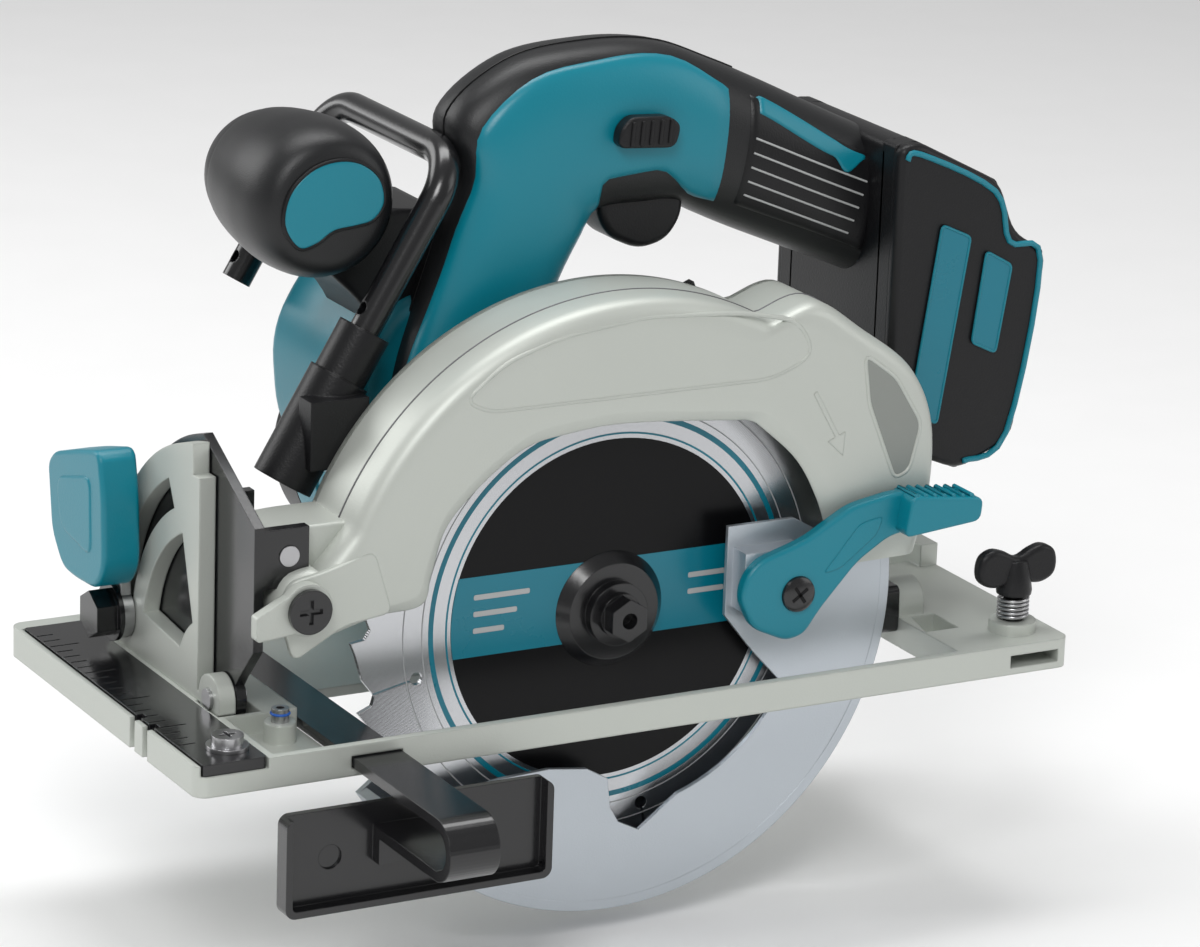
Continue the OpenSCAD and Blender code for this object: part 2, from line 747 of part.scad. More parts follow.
module stopper_screw() {
    color([0.14, 0.14, 0.15]) difference() {
        union() {
            ycyl(stopper_x, stopper_z, 5, stopper_y - 0.5, near_face);
            ycyl(stopper_x, stopper_z, 6.4, stopper_y - 2, stopper_y - 0.4);
            ycyl(stopper_x, stopper_z, 2.6, near_face - 1, near_face + 2);
        }
        for (a = [0, 90]) translate([stopper_x, stopper_y - 2, stopper_z]) rotate([0, a, 0])
            cube([7, 2, 1.4], center = true);
    }
}

// ---- Lower guard ------------------------------------------------------------------------------

block_x0 = 36;
block_x1 = 55.5;
block_z1 = 42;

// Outline of the guard's near wall, drawn in X and Z about the arbor
module guard_crescent() {
    polygon(concat(arc([0, 0], guard_r - 1, 8, -146, 80),
        [[-53, -46.5], [-38, -44], [-22.5, -43.3], [-10, -45],
        [-3, -49], [-2, -58], [1, -63], [8, -66.5]], arc([2, 0], 60, -72, -28, 12),
        [[42, -14], [34, -4], [34, 23], [56, 23], [72, 14]]));
}

module lower_guard() {
    color([0.68, 0.71, 0.74]) difference() {
        union() {
            yext(-guard_w + 0.1, -guard_w + 1.6) translate([0, arbor_z]) guard_crescent();
            yext(-guard_w, guard_w) polygon(concat(arc([0, arbor_z], guard_r, 8, -147, 80),
                arc([0, arbor_z], guard_r - 3, -147, 8, 80)));
            yext(guard_w - 2, guard_w)
                polygon(concat(arc([0, arbor_z], guard_r - 1, 8, -147, 80), [[-12, arbor_z]]));
            arbor_cyl(20, guard_w - 1.5, 13);
            // Block that carries the retracting lever
            block([block_x0, -16.5, 24], [block_x1, -guard_w + 0.5, block_z1]);
        }
        arbor_cyl(16.06, 0, 14);
        ycyl(52, 29, 2.1, -18, -guard_w + 1);
    }
}

module retract_lever() {
    color([0, 0.58, 0.66]) difference() {
        union() {
            yext(-20, -14) soft(1.5) polygon([[33, 29], [39, 18], [50, 14.5], [56, 18], [72, 35], [82, 42.5],
                [110, 45.5], [111, 53], [82, 56], [66, 52.5], [52, 45], [34, 40]]);
            yext(-26, -14) soft(1) polygon([[86, 44], [110, 46], [110, 53], [88, 55.5]]);
            for (i = [0:5]) block([88 + 3.6 * i, -26, 53], [89.4 + 3.6 * i, -14, 56.2 - 0.4 * i]);
        }
        block([block_x0 - 0.01, -16.5, 10], [block_x1 + 0.01, -13, 60]);
        yext(-21, -18.4) soft(2) polygon([[50, 33], [56, 30], [74, 42], [76, 49], [70, 48]]);
        ycyl(52, 29, 4.6, -21, -18);
        ycyl(52, 29, 2.1, -21, -10);
    }
}

module retract_screw() {
    color([0.35, 0.35, 0.37]) difference() {
        union() {
            ycyl(52, 29, 4.4, -20, -18);
            ycyl(52, 29, 2.1, -19, -guard_w + 1);
        }
        for (a = [0, 90]) translate([52, -20, 29]) rotate([0, a, 0]) cube([5, 2, 1], center = true);
    }
}

module guard_spring() {
    color([0.5, 0.5, 0.52]) for (i = [0:1])
        translate([0, 10.9 + 1.6 * i, arbor_z]) rotate([90, 0, 0]) rotate_extrude()
            translate([22, 0]) circle(0.7, $fn = 16);
}

// ---- Spindle, blade and motor -----------------------------------------------------------------

module spindle() {
    color([0.6, 0.6, 0.62]) difference() {
        union() {
            arbor_cyl(spindle_r, -2.4, 25.4);
            arbor_cyl(4, 25, 28.3);
        }
        arbor_cyl(3, -3, 14);
    }
}

module drive_gear() {
    color([0.55, 0.55, 0.5]) difference() {
        yext(17.2, 24.6) translate([0, arbor_z]) rotate(gear_phase) toothed(gear_teeth, gear_m);
        arbor_cyl(spindle_r, 16, 26);
    }
}

module inner_flange() {
    color([0.16, 0.16, 0.17]) difference() {
        union() {
            arbor_cyl(17.5, blade_t / 2, 3.6);
            arbor_cyl(9.6, 3, 7.6);
        }
        arbor_cyl(spindle_r, -1, 9);
    }
}

module blade() {
    gullet = 6;
    color([0.72, 0.73, 0.75]) difference() {
        yext(-blade_t / 2, blade_t / 2) translate([0, arbor_z]) polygon([for (i = [0:teeth - 1], k = [0:4])
            let (a = -360 / teeth * (i + [0, 0.03, 0.16, 0.45, 0.82][k]),
                r = blade_r - [0, gullet * 0.75, gullet, gullet * 0.5, 1.5][k]) [r * cos(a), r * sin(a)]]);
        arbor_cyl(spindle_r, -2, 2);
        // Expansion slots with their round ends
        for (i = [0:3]) translate([0, -2, arbor_z]) rotate([0, 168 + 90 * i, 0]) {
            translate([63, 0, 0]) rotate([-90, 0, 0]) cylinder(r = 1.9, h = 4);
            translate([63, 0, -0.35]) cube([22, 4, 0.7]);
        }
    }
}

module outer_flange() {
    color([0.12, 0.12, 0.13]) difference() {
        union() {
            translate([0, -blade_t / 2, arbor_z]) rotate([90, 0, 0]) cylinder(r1 = 17.5, r2 = 14.4, h = 3.4);
            arbor_cyl(9.4, -7.4, -3);
        }
        arbor_cyl(spindle_r + 0.01, -2.6, 0);
        arbor_cyl(3.2, -9, 0);
    }
}

module blade_bolt() {
    color([0.12, 0.12, 0.13]) difference() {
        union() {
            translate([0, -7.4, arbor_z]) rotate([90, 0, 0]) cylinder(r = 6.6, h = 1.4);
            translate([0, -8.8, arbor_z]) rotate([90, 30, 0]) cylinder(r = 6.4, h = 5, $fn = 6);
            arbor_cyl(3, -9, 12);
        }
        arbor_cyl(2.4, -15, -10);
    }
}

pinion_angle = atan2(motor_dz, motor_x);
gear_phase = pinion_angle;

module motor_shaft() {
    color([0.6, 0.6, 0.62]) {
        motor_cyl(3, 25.4, 126);
        yext(17.2, 25.4) translate([motor_x, motor_z]) rotate(pinion_angle + 180 + 180 / pinion_teeth)
            toothed(pinion_teeth, gear_m * 0.94);
    }
}

module rotor() {
    color([0.35, 0.35, 0.37]) difference() {
        motor_cyl(17.4, 54, 94);
        motor_cyl(3, 53, 95);
    }
}

module fan() {
    color([0.8, 0.8, 0.75]) difference() {
        union() {
            motor_cyl(6, 104, 114);
            motor_cyl(28, 104, 105.6);
            for (a = [0:24:336]) translate([motor_x, 105, motor_z]) rotate([-90, a, 0])
                translate([5, -0.7, 0]) cube([22, 1.4, 8]);
        }
        motor_cyl(3, 103, 115);
    }
}

// ---- Controls -----------------------------------------------------------------------------------

module trigger() {
    color([0.16, 0.16, 0.17]) difference() {
        yext(handle_y - 8, handle_y + 8) soft(2)
            polygon([[12, 139], [40, 139], [40, 128], [34, 122], [26, 121], [16, 126], [12, 132]]);
        yext(handle_y - 6, handle_y + 6) polygon([[14, 140], [38, 140], [38, 132], [14, 134]]);
    }
}

module lock_off() {
    color([0.13, 0.13, 0.14]) {
        block([17, hy0 - 5, 158.4], [27.6, hy1 + 5, 162.6]);
        for (y = [hy0 - 5, hy1 + 1.5]) yext(y, y + 3.5) soft(2)
            polygon([[12, 156], [30, 154.6], [31.4, 162.4], [14, 164.4]]);
    }
}

// Pressed towards the gear, its tongue enters the gap between two teeth
module shaft_lock() {
    tongue_z = arbor_z + 17.2 * sin((gear_phase + 180 / gear_teeth) % (360 / gear_teeth));
    color([0.13, 0.13, 0.14]) {
        block([19.4, gear_y - 0.8, tongue_z - 0.4], [22, gear_y + 0.8, tongue_z + 0.4]);
        xcyl(gear_y, arbor_z, 2, 21, 25);
        xcyl(gear_y, arbor_z, 3.6, 24, 27);
    }
}

// ---- Assembly -----------------------------------------------------------------------------------

shoe();
scale_plate();
scale_screw();
bevel_bracket();
bevel_pins();
stop_screw();
wing_bolt();
wing_spring();
rip_fence();
tilt_frame();
depth_guide();
bevel_clamp_bolt();
bevel_lever_arm();
bevel_lever_knob();
blade_case();
depth_pin();
gear_cover();
motor_housing();
motor_cap();
stator();
motor_bearings();
spindle_bearings();
handle_left();
handle_right();
grip_rubber();
side_panel();
housing_screws();
front_arm();
front_grip();
grip_inlays();
battery_mount();
mount_badges();
terminal_block();
switch_body();
controller();
hook_holder();
hook_rod();
depth_lever();
positive_stopper();
stopper_screw();
lower_guard();
retract_lever();
retract_screw();
guard_spring();
spindle();
drive_gear();
inner_flange();
blade();
outer_flange();
blade_bolt();
rotor();
motor_shaft();
fan();
trigger();
lock_off();
shaft_lock();
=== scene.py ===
import json
from math import atan2, cos, pi, radians, sin

import bpy
from mathutils import Matrix, Vector


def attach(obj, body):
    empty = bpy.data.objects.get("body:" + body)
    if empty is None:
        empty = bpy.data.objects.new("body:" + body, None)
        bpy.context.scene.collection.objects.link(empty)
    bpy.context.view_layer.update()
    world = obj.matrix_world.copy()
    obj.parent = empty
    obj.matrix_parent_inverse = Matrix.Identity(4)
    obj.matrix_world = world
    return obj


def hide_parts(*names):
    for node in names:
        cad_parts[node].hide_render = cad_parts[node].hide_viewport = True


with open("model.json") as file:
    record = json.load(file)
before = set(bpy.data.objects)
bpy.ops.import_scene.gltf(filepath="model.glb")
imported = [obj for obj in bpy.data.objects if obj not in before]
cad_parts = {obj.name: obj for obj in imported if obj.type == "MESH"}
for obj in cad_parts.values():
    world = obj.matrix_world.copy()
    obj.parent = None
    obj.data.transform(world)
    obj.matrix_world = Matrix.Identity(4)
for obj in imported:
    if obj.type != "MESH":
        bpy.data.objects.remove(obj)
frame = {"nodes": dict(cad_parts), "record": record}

for spare in ("Cube", "Light", "Camera"):
    if spare in bpy.data.objects:
        bpy.data.objects.remove(bpy.data.objects[spare])

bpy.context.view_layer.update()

# ---- Sizes shared with the CAD model, in millimetres ---------------------------------------

ARBOR = 25.5
NEAR = -13.5
FAR = 16.0
HANDLE_Y = 42.0
MOTOR = (-11.0, 42.5)


# ---- Materials ------------------------------------------------------------------------------


def material(
    name, base, rough, metal=0.0, grain=900, bump=0.15, edge=0.7, spread=0.06, coat=0.0, shine=0.5,
):
    """A painted, moulded or cast finish: mottled colour, uneven gloss, fine grain and soft edges."""
    m = bpy.data.materials.new(name)
    m.use_nodes = True
    nodes, links = m.node_tree.nodes, m.node_tree.links
    shader = nodes["Principled BSDF"]
    shader.inputs["Metallic"].default_value = metal
    shader.inputs["Coat Weight"].default_value = coat
    shader.inputs["Specular IOR Level"].default_value = shine
    shader.inputs["Coat Roughness"].default_value = 0.15
    place = nodes.new("ShaderNodeTexCoord")

    cloud = nodes.new("ShaderNodeTexNoise")
    cloud.inputs["Scale"].default_value = 28
    cloud.inputs["Detail"].default_value = 6
    links.new(place.outputs["Object"], cloud.inputs["Vector"])
    tint = nodes.new("ShaderNodeMix")
    tint.data_type = "RGBA"
    tint.inputs["A"].default_value = (*[c * (1 - spread) for c in base], 1)
    tint.inputs["B"].default_value = (*[min(1, c * (1 + spread)) for c in base], 1)
    links.new(cloud.outputs["Fac"], tint.inputs["Factor"])
    links.new(tint.outputs["Result"], shader.inputs["Base Color"])

    gloss = nodes.new("ShaderNodeMapRange")
    gloss.inputs["To Min"].default_value = rough * 0.85
    gloss.inputs["To Max"].default_value = min(1, rough * 1.15)
    links.new(cloud.outputs["Fac"], gloss.inputs["Value"])
    links.new(gloss.outputs["Result"], shader.inputs["Roughness"])

    fine = nodes.new("ShaderNodeTexNoise")
    fine.inputs["Scale"].default_value = grain
    fine.inputs["Detail"].default_value = 3
    links.new(place.outputs["Object"], fine.inputs["Vector"])
    soft = nodes.new("ShaderNodeBevel")
    soft.samples = 4
    soft.inputs["Radius"].default_value = edge / 1000
    relief = nodes.new("ShaderNodeBump")
    relief.inputs["Strength"].default_value = bump
    relief.inputs["Distance"].default_value = 0.0004
    links.new(fine.outputs["Fac"], relief.inputs["Height"])
    links.new(soft.outputs["Normal"], relief.inputs["Normal"])
    links.new(relief.outputs["Normal"], shader.inputs["Normal"])
    return m


def turned(name, base, rough, centre):
    """Metal ground in circles about an axis along Y."""
    m = material(name, base, rough, metal=1.0, bump=0.05, edge=0.3)
    nodes, links = m.node_tree.nodes, m.node_tree.links
    place = next(n for n in nodes if n.type == "TEX_COORD")
    shift = nodes.new("ShaderNodeMapping")
    shift.inputs["Location"].default_value = (-centre[0] / 1000, 0, -centre[1] / 1000)
    rings = nodes.new("ShaderNodeTexWave")
    rings.wave_type = "RINGS"
    rings.rings_direction = "Y"
    rings.inputs["Scale"].default_value = 900
    rings.inputs["Distortion"].default_value = 0.6
    links.new(place.outputs["Object"], shift.inputs["Vector"])
    links.new(shift.outputs["Vector"], rings.inputs["Vector"])
    relief = next(n for n in nodes if n.type == "BUMP")
    links.new(rings.outputs["Fac"], relief.inputs["Height"])
    relief.inputs["Strength"].default_value = 0.12
    return m


TEAL = (0.0, 0.20, 0.27)
CAST = material(
    "cast_alloy", (0.52, 0.545, 0.505), 0.44, metal=0.3, grain=1400, bump=0.10, edge=0.9, spread=0.03,
)
GUARD = material("guard_alloy", (0.52, 0.56, 0.60), 0.36, metal=0.75, grain=2200, bump=0.12, edge=0.4)
GEARBOX = material("gearbox_alloy", (0.42, 0.44, 0.45), 0.5, metal=0.8, bump=0.25)
PAINT = material("black_paint", (0.006, 0.006, 0.007), 0.24, grain=700, bump=0.05, edge=0.5, coat=0.3)
STEEL = material("steel", (0.45, 0.45, 0.46), 0.28, metal=1.0, grain=2500, bump=0.05, edge=0.3)
GROUND = turned("ground_steel", (0.58, 0.59, 0.61), 0.24, (0, ARBOR))
PLASTIC = material("teal_plastic", TEAL, 0.34, grain=1500, bump=0.10, edge=0.9, spread=0.05)
BLACK = material("black_plastic", (0.007, 0.007, 0.008), 0.38, grain=1600, bump=0.18, edge=0.8, shine=0.32)
RUBBER = material(
    "soft_rubber", (0.009, 0.0095, 0.0105), 0.38, grain=2600, bump=0.22, edge=0.8, shine=0.42,
)
IRON = material("motor_iron", (0.2, 0.2, 0.21), 0.5, metal=0.9, bump=0.3)
CREAM = material("fan_plastic", (0.6, 0.58, 0.5), 0.5)
# Black for the blade print and the handle seam, and painted shade in the screw cross and the motor vents
PRINT_AND_SHADE_BLACK = material("print_and_shade_black", (0.003, 0.003, 0.0035), 0.3, bump=0.02, edge=0.1, shine=0.18)
# Darker cast colour for the pocket floor: painted shade standing in for its recess
POCKET_SHADE = material("cast_pocket_painted_shade", (0.27, 0.285, 0.265), 0.55, metal=0.3, grain=1400, bump=0.2)
PRINT_TEAL = material("print_teal", (0.0, 0.17, 0.24), 0.28, bump=0.02, edge=0.1)
PRINT_GREY = material("print_grey", (0.36, 0.37, 0.38), 0.3, bump=0.02, edge=0.1)
MARK = material("light_mark", (0.42, 0.43, 0.43), 0.5, edge=0.1)
LOCKER = material("thread_locker", (0.02, 0.12, 0.5), 0.4)

BY_SLOT = {
    "shoe_alloy": CAST,
    "guard_alloy": GUARD,
    "gear_alloy": GEARBOX,
    "black_steel": PAINT,
    "bright_steel": STEEL,
    "blade_steel": GROUND,
    "teal_plastic": PLASTIC,
    "black_plastic": BLACK,
    "soft_rubber": RUBBER,
    "motor_iron": IRON,
    "fan_plastic": CREAM,
}

for part in frame["record"]["subparts"]:
    cad = frame["nodes"][part["node"]]
    cad.data.materials.clear()
    cad.data.materials.append(BY_SLOT[part["material_slot"]])


# ---- Mesh helpers ---------------------------------------------------------------------------


def piece(name, verts, faces, body, finish, slot, replaces=(), bevel=0.0, segments=3, sharp=35):
    """One mesh piece, given in millimetres in the CAD model's frame, riding on a CAD body."""
    mesh = bpy.data.meshes.new(name)
    mesh.from_pydata([(x / 1000, y / 1000, z / 1000) for x, y, z in verts], [], faces)
    mesh.validate()
    mesh.shade_smooth()
    mesh.set_sharp_from_angle(angle=radians(sharp))
    obj = bpy.data.objects.new(name, mesh)
    bpy.context.collection.objects.link(obj)
    mesh.materials.append(finish)
    if bevel:
        mod = obj.modifiers.new("edges", "BEVEL")
        mod.width = bevel / 1000
        mod.segments = segments
        mod.limit_method = "ANGLE"
        mod.angle_limit = radians(28)
        mod.use_clamp_overlap = True
        mod.harden_normals = True
    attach(obj, body)
    if replaces:
        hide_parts(*replaces)
    return obj


def along(axis, u, v, w):
    """Point with outline coordinates u, v and depth w along an axis."""
    return {"x": (w, u, v), "y": (u, w, v), "z": (u, v, w)}[axis]


def prism(name, outline, w0, w1, *rest, axis="y", **options):
    """Outline extruded from w0 to w1 along an axis."""
    n = len(outline)
    verts = [along(axis, u, v, w) for w in (w0, w1) for u, v in outline]
    faces = [list(range(n))[::-1], list(range(n, 2 * n))]
    faces += [[i, (i + 1) % n, n + (i + 1) % n, n + i] for i in range(n)]
    return piece(name, verts, faces, *rest, **options)


def loft(name, rings, *rest, closed=True, caps=True, **options):
    """Skin over rings of points with equal counts."""
    n = len(rings[0])
    verts = [p for ring in rings for p in ring]
    faces = []
    for k in range(len(rings) - 1):
        for i in range(n if closed else n - 1):
            a, b = k * n + i, k * n + (i + 1) % n
            faces.append([a, b, b + n, a + n])
    if caps:
        faces.append(list(range(n))[::-1])
        faces.append([len(verts) - n + i for i in range(n)])
    return piece(name, verts, faces, *rest, **options)


def lathe(name, centre, profile, *rest, count=64, **options):
    """Profile of (radius, y) turned about an axis along Y through centre (x, z)."""
    turn = [2 * pi * i / count for i in range(count)]
    rings = [[(centre[0] + r * cos(a), y, centre[1] + r * sin(a)) for a in turn] for r, y in profile]
    return loft(name, rings, *rest, **options)


def tube(name, path, radius, *rest, count=16, loop=False, **options):
    """Round bar along a path."""
    points = [Vector(p) for p in path]
    turn = [2 * pi * k / count for k in range(count)]
    n = len(points)
    rings = []
    side = None
    for i, p in enumerate(points):
        after = points[(i + 1) % n] if loop or i < n - 1 else p
        before = points[i - 1] if loop or i else p
        run = (after - before).normalized()
        if side is None:
            side = run.orthogonal()
        side = (side - run * side.dot(run)).normalized()
        up = run.cross(side)
        rings.append([tuple(p + radius * (cos(a) * side + sin(a) * up)) for a in turn])
    if loop:
        rings.append(rings[0])
    return loft(name, rings, *rest, caps=not loop, **options)


def between(a, b, c, d, t):
    """Value at t from b to c on the smooth line through a, b, c and d."""
    square = (2 * a - 5 * b + 4 * c - d) * t**2
    cube = (3 * b - a - 3 * c + d) * t**3
    return 0.5 * (2 * b + (c - a) * t + square + cube)


def curve(points, steps=6, loop=False):
    """Smooth line through points of any size."""
    n = len(points)
    out = []
    for i in range(n if loop else n - 1):
        p = [points[(i + k) % n] if loop else points[min(max(i + k, 0), n - 1)] for k in (-1, 0, 1, 2)]
        out += [tuple(between(*values, s / steps) for values in zip(*p)) for s in range(steps)]
    if not loop:
        out.append(tuple(points[-1]))
    return out


def rounded(outline, radius, steps=4):
    """Outline with its corners cut to arcs of at most this radius."""
    out = []
    n = len(outline)
    for i in range(n):
        p = Vector(outline[i])
        a, b = Vector(outline[i - 1]) - p, Vector(outline[(i + 1) % n]) - p
        cut = min(radius, a.length * 0.45, b.length * 0.45)
        p0, p1 = p + a.normalized() * cut, p + b.normalized() * cut
        for s in range(steps + 1):
            t = s / steps
            out.append(tuple((1 - t) ** 2 * p0 + 2 * t * (1 - t) * p + t**2 * p1))
    return out


def cross_recess(name, x, y, z, size, body):
    """Dark cross let into a screw head that faces the blade side; its darkness is painted shade for the
    cross recess.
    """
    for k, angle in enumerate((35, 125)):
        c, s = cos(radians(angle)), sin(radians(angle))
        corners = [(-size, -size * 0.18), (size, -size * 0.18), (size, size * 0.18), (-size, size * 0.18)]
        bar = [(x + u * c - v * s, z + u * s + v * c) for u, v in corners]
        prism(f"{name}_cross_{k}", bar, y - 0.15, y + 0.3, body, PRINT_AND_SHADE_BLACK, "black_steel", bevel=0.1, segments=1)


# ---- Handle ---------------------------------------------------------------------------------

# Outer point, inner point, half width and squareness of each station along the handle
STATIONS = [
    (-52, 84, -14, 80, 15.0, 3.4),
    (-49, 97, -11, 93, 15.2, 3.4),
    (-44, 112, -6, 105, 15.4, 3.4),
    (-38, 130, -1, 117, 15.4, 3.4),
    (-33.5, 148, 5, 127, 15.4, 3.2),
    (-35, 166, 9.5, 133, 15.4, 3.0),
    (-16, 180, 15.5, 134.5, 15.4, 3.0),
    (9, 183.5, 26, 134.5, 15.2, 3.0),
    (31, 182, 36.5, 134, 15.2, 2.8),
    (50, 175, 46, 129.5, 15.4, 2.5),
    (66, 168, 58, 124, 16.0, 2.3),
    (84, 159.5, 76, 116.5, 16.6, 2.3),
    (98, 153, 93, 109.5, 17.0, 2.6),
    (112, 147, 110, 102, 19.0, 3.2),
]
SKIN_STEPS = 8
SKIN = curve(STATIONS, SKIN_STEPS)
PATCH_LONG, PATCH_WIDE = 40, 24


def handle_point(u, angle, lift=0.0):
    """Point on the handle's skin: u counts stations, angle runs from the outer side to the near one."""
    k = min(max(u * SKIN_STEPS, 0), len(SKIN) - 1.001)
    i, t = int(k), k - int(k)
    ox, oz, ix, iz, half, power = [a + (b - a) * t for a, b in zip(SKIN[i], SKIN[i + 1])]
    c, s = cos(radians(angle)), sin(radians(angle))
    reach = (abs(c) ** power + abs(s) ** power) ** (-1 / power)
    across = Vector((ox - ix, 0, oz - iz)) / 2
    centre = Vector(((ox + ix) / 2, HANDLE_Y, (oz + iz) / 2))
    outward = across.normalized() * c * reach * (across.length + lift)
    sideways = Vector((0, -1, 0)) * s * reach * (half + lift)
    return tuple(centre + (outward + sideways))


def handle_patch(name, u0, u1, a0, a1, lift, finish, slot, **options):
    """Raised skin on the handle between two edges given as functions of u, with turned-down rims."""
    rings = []
    for i in range(PATCH_LONG + 1):
        u = u0 + (u1 - u0) * i / PATCH_LONG
        low, high = a0(u), a1(u)
        end = min(1, min(i, PATCH_LONG - i) / 1.5)
        ring = []
        for j in range(PATCH_WIDE + 1):
            edge = min(1, min(j, PATCH_WIDE - j) / 1.5)
            rise = -0.6 + (lift + 0.6) * min(edge, end) ** 0.5
            ring.append(handle_point(u, low + (high - low) * j / PATCH_WIDE, rise))
        rings.append(ring)
    return loft(name, rings, "saw", finish, slot, closed=False, caps=False, sharp=70, **options)


AROUND = 56
body_rings = [
    [handle_point(k / SKIN_STEPS, 360 * j / AROUND) for j in range(AROUND)] for k in range(len(SKIN))
]
loft(
    "handle", body_rings, "saw", RUBBER, "soft_rubber",
    replaces=("handle_left", "handle_right", "grip_rubber", "side_panel", "housing_screws"),
)


def ramp(u, points):
    """Value at u on a line through (u, value) points."""
    for (ua, va), (ub, vb) in zip(points, points[1:]):
        if u <= ub:
            t = max(0, (u - ua) / (ub - ua))
            return va + (vb - va) * t * t * (3 - 2 * t)
    return points[-1][1]


PANEL_TOP = [(0, 22), (3, 30), (5, 44), (6.5, 40), (8, 34), (9.2, 44)]
PANEL_FOOT = [(0, 172), (4, 170), (5.2, 148), (6.2, 122), (7.4, 120), (8.4, 140), (9.2, 136)]
GRIP_TOP, GRIP_FOOT = [(9.55, 42), (12.2, 50)], [(9.55, 132), (12.2, 128)]
handle_patch(
    "handle_panel", 0.0, 9.2, lambda u: ramp(u, PANEL_TOP), lambda u: ramp(u, PANEL_FOOT),
    0.9, PLASTIC, "teal_plastic",
)
handle_patch(
    "grip_panel", 9.55, 12.2, lambda u: ramp(u, GRIP_TOP), lambda u: ramp(u, GRIP_FOOT),
    0.8, BLACK, "soft_rubber",
)
handle_patch(
    "handle_panel_far", 4.4, 9.2, lambda u: 360 - ramp(u, PANEL_FOOT), lambda u: 360 - ramp(u, PANEL_TOP),
    0.9, PLASTIC, "teal_plastic",
)
handle_patch(
    "grip_panel_far", 9.55, 12.2, lambda u: 360 - ramp(u, GRIP_FOOT), lambda u: 360 - ramp(u, GRIP_TOP),
    0.8, BLACK, "soft_rubber",
)
handle_patch(
    "grip_inlay", 9.7, 12.0,
    lambda u: ramp(u, [(9.7, 43), (12.0, 56)]),
    lambda u: ramp(u, [(9.7, 58), (11.2, 66), (11.5, 74), (12.0, 58)]),
    1.3, PLASTIC, "teal_plastic",
)
for k in range(5):
    start, stop = 9.7, 12.0 - 0.05 * k
    first = 76 + k * 10.5
    line = [handle_point(start + (stop - start) * i / 20, first - 2 * i / 20, 0.85) for i in range(21)]
    tube(f"grip_line_{k}", line, 0.32, "saw", MARK, "soft_rubber", count=8)

seam = [handle_point(0.2 + 9.3 * i / 60, 4, 0.05) for i in range(61)]
tube("handle_seam", seam, 0.35, "saw", PRINT_AND_SHADE_BLACK, "soft_rubber", count=8)
for k, (u, angle) in enumerate([(1.2, 230), (5.6, 232), (8.4, 250), (11.4, 262)]):
    x, y, z = handle_point(u, angle)
    head = [(0.1, y + 0.9), (3.0, y + 0.9), (3.4, y + 0.2), (3.4, y - 2)]
    lathe(f"handle_screw_{k}", (x, z), head, "saw", STEEL, "bright_steel", count=24)

# ---- Lock-off lever and trigger -------------------------------------------------------------

knob = rounded([(10.5, 155.5), (29.5, 154.2), (31, 161), (27, 163.8), (14.5, 164.4), (11, 161)], 3)
for side, (y0, y1) in {"near": (21.2, 26.0), "far": (58.0, 62.8)}.items():
    prism(
        f"lock_off_{side}", knob, y0, y1, "lock_off", BLACK, "black_plastic",
        replaces=("lock_off",), bevel=1.4, segments=4,
    )
for k in range(5):
    x = 14 + 3.1 * k
    rib = rounded([(x, 155.8), (x + 1.3, 155.7), (x + 1.9, 163), (x + 0.6, 163.2)], 0.4, 2)
    prism(f"lock_off_rib_{k}", rib, 20.7, 21.6, "lock_off", BLACK, "black_plastic", bevel=0.3, segments=2)

pull = rounded([(12, 139), (40, 139), (40, 130), (35, 123), (26, 121), (16, 125.5), (12, 132)], 5, 6)
prism(
    "trigger", pull, HANDLE_Y - 8, HANDLE_Y + 8, "trigger", BLACK, "black_plastic",
    replaces=("trigger",), bevel=2.6, segments=5,
)

# ---- Front grip -----------------------------------------------------------------------------

GRIP = (-74, 143)
egg = [(0.1, 32.6), (12, 32.7), (16.4, 33.2), (19.2, 35), (21.2, 38.5), (22.4, 43), (22.9, 49)]
egg += [(22.9, 55), (22.2, 62), (21.2, 69), (20, 74.5), (19.5, 75.0), (19.3, 75.8), (18.6, 79)]
egg += [(16.6, 84), (13.4, 88.4), (9, 91.6), (4, 93.6), (0.1, 94)]
lathe("front_grip", GRIP, curve(egg, 3), "saw", RUBBER, "soft_rubber", count=72, replaces=("front_grip",))
kidney = [(-14, -3), (-12.5, 5), (-7, 10.5), (0, 12.6), (7, 11.5), (12.5, 7), (14, 0.5)]
kidney += [(11, -4), (6, -5.2), (0, -6), (-5, -9), (-10, -9.5)]
inlay = [(GRIP[0] + x * 1.12, GRIP[1] + z * 1.1) for x, z in curve(kidney, 5, loop=True)]
prism(
    "grip_inlay_front", inlay, 31.9, 35.5, "saw", PLASTIC, "teal_plastic",
    replaces=("grip_inlays",), bevel=1.0, segments=4,
)
rim = [(x, 32.4, z) for x, z in inlay]
tube("grip_inlay_rim", rim, 0.55, "saw", BLACK, "black_plastic", count=8, loop=True)
arm = rounded([(-76, 127), (-60, 139), (-30, 136), (-34, 112), (-50, 94), (-58, 110)], 7)
prism(
    "front_arm", arm, 43.5, 76.5, "saw", BLACK, "black_plastic",
    replaces=("front_arm",), bevel=5, segments=5,
)

# ---- Blade case -----------------------------------------------------------------------------


def arc(cx, cz, r, a0, a1, count):
    """Points of an arc in X and Z."""
    sweep = [radians(a0 + (a1 - a0) * i / count) for i in range(count + 1)]
    return [(cx + r * cos(a), cz + r * sin(a)) for a in sweep]


def spaced(path, count):
    """The same line with evenly spaced points."""
    points = [Vector(p) for p in path]
    runs = [0.0]
    for a, b in zip(points, points[1:]):
        runs.append(runs[-1] + (b - a).length)
    out, k = [], 0
    for i in range(count):
        goal = runs[-1] * i / (count - 1)
        while k < len(runs) - 2 and runs[k + 1] < goal:
            k += 1
        t = (goal - runs[k]) / max(1e-9, runs[k + 1] - runs[k])
        out.append(points[k].lerp(points[k + 1], t))
    return out


